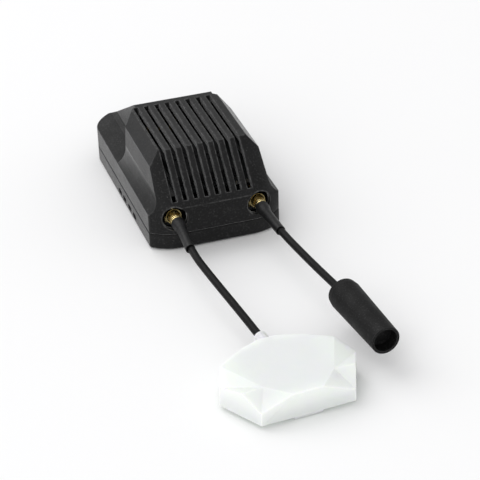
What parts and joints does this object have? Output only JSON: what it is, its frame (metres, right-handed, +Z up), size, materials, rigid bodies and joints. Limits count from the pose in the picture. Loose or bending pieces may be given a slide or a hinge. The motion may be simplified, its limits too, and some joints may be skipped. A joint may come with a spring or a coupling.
{
  "type": "wireless video receiver",
  "caption": "Small black vented receiver housing with a ribbed sloping front, carrying a flat white patch antenna and a slim black stick antenna on short coax leads.",
  "frame": {"origin": "middle of the housing's underside, on the surface it stands on", "axes": "+Z up, +Y from the antenna side towards the dock side, +X to the right seen from the antenna side"},
  "size_m": [0.0504, 0.1604, 0.0265],
  "materials": {
    "housing_black": "fine layered matte black plastic, slightly worn to grey on the edges",
    "screw_black": "black-oxide steel",
    "board_black": "black solder mask, semi-gloss",
    "board_green": "solder-mask green, semi-gloss",
    "shield_tin": "tin-plated pressed sheet, lacquered black",
    "chip_black": "moulded epoxy package",
    "capacitor_silver": "drawn aluminium can",
    "inductor_grey": "pressed ferrite powder",
    "header_black": "moulded nylon",
    "contact_gold": "gold flash over brass",
    "connector_brass": "gold-plated brass, turned rings",
    "spacer_brass": "turned brass",
    "insulator_white": "fluoropolymer, waxy white",
    "boot_black": "satin heat-shrink tube",
    "coax_black": "smooth satin cable jacket",
    "case_white": "slightly translucent milk-white plastic, soft edges",
    "sleeve_black": "matte black moulded sleeve",
    "copper_core": "bare copper alloy"
  },
  "bodies": {
    "housing": {"upper_shell": "housing_black", "lower_cover": "housing_black", "cover_screws": "screw_black", "main_board": "board_black", "video_board": "board_black", "board_spacers": "spacer_brass", "link_header": "header_black", "lower_receiver_board": "board_black", "lower_shield_can": "shield_tin", "upper_receiver_board": "board_black", "upper_shield_can": "shield_tin", "microcontroller": "chip_black", "voltage_regulator": "chip_black", "power_inductor": "inductor_grey", "filter_capacitors": "capacitor_silver", "dock_header": "header_black", "dock_pins": "contact_gold", "left_jack_shell": "connector_brass", "left_jack_insulator": "insulator_white", "left_jack_contact": "contact_gold", "right_jack_shell": "connector_brass", "right_jack_insulator": "insulator_white", "right_jack_contact": "contact_gold"},
    "left_antenna": {"left_plug_body": "connector_brass", "left_plug_insulator": "insulator_white", "left_plug_pin": "contact_gold", "left_ferrule": "connector_brass", "left_boot": "boot_black", "left_coax": "coax_black", "patch_case_top": "case_white", "patch_case_base": "case_white", "patch_ground_board": "board_green", "patch_spacers": "insulator_white", "patch_radiator_board": "board_green", "patch_feed_pin": "copper_core"},
    "right_antenna": {"right_plug_body": "connector_brass", "right_plug_insulator": "insulator_white", "right_plug_pin": "contact_gold", "right_ferrule": "connector_brass", "right_boot": "boot_black", "right_coax": "coax_black", "right_sleeve": "sleeve_black", "right_end_disc": "sleeve_black", "right_dipole_tube": "copper_core", "right_whip": "copper_core"}
  },
  "joints": [
    {"name": "left_antenna_swivel", "type": "hinge", "parent": "housing", "child": "left_antenna", "pos_m": [-0.0128, -0.032, 0.0103], "axis": [0, -1, 0], "range_deg": [0, 180]},
    {"name": "right_antenna_swivel", "type": "hinge", "parent": "housing", "child": "right_antenna", "pos_m": [0.0128, -0.032, 0.0103], "axis": [0, -1, 0], "range_deg": [-25, 120]}
  ]
}
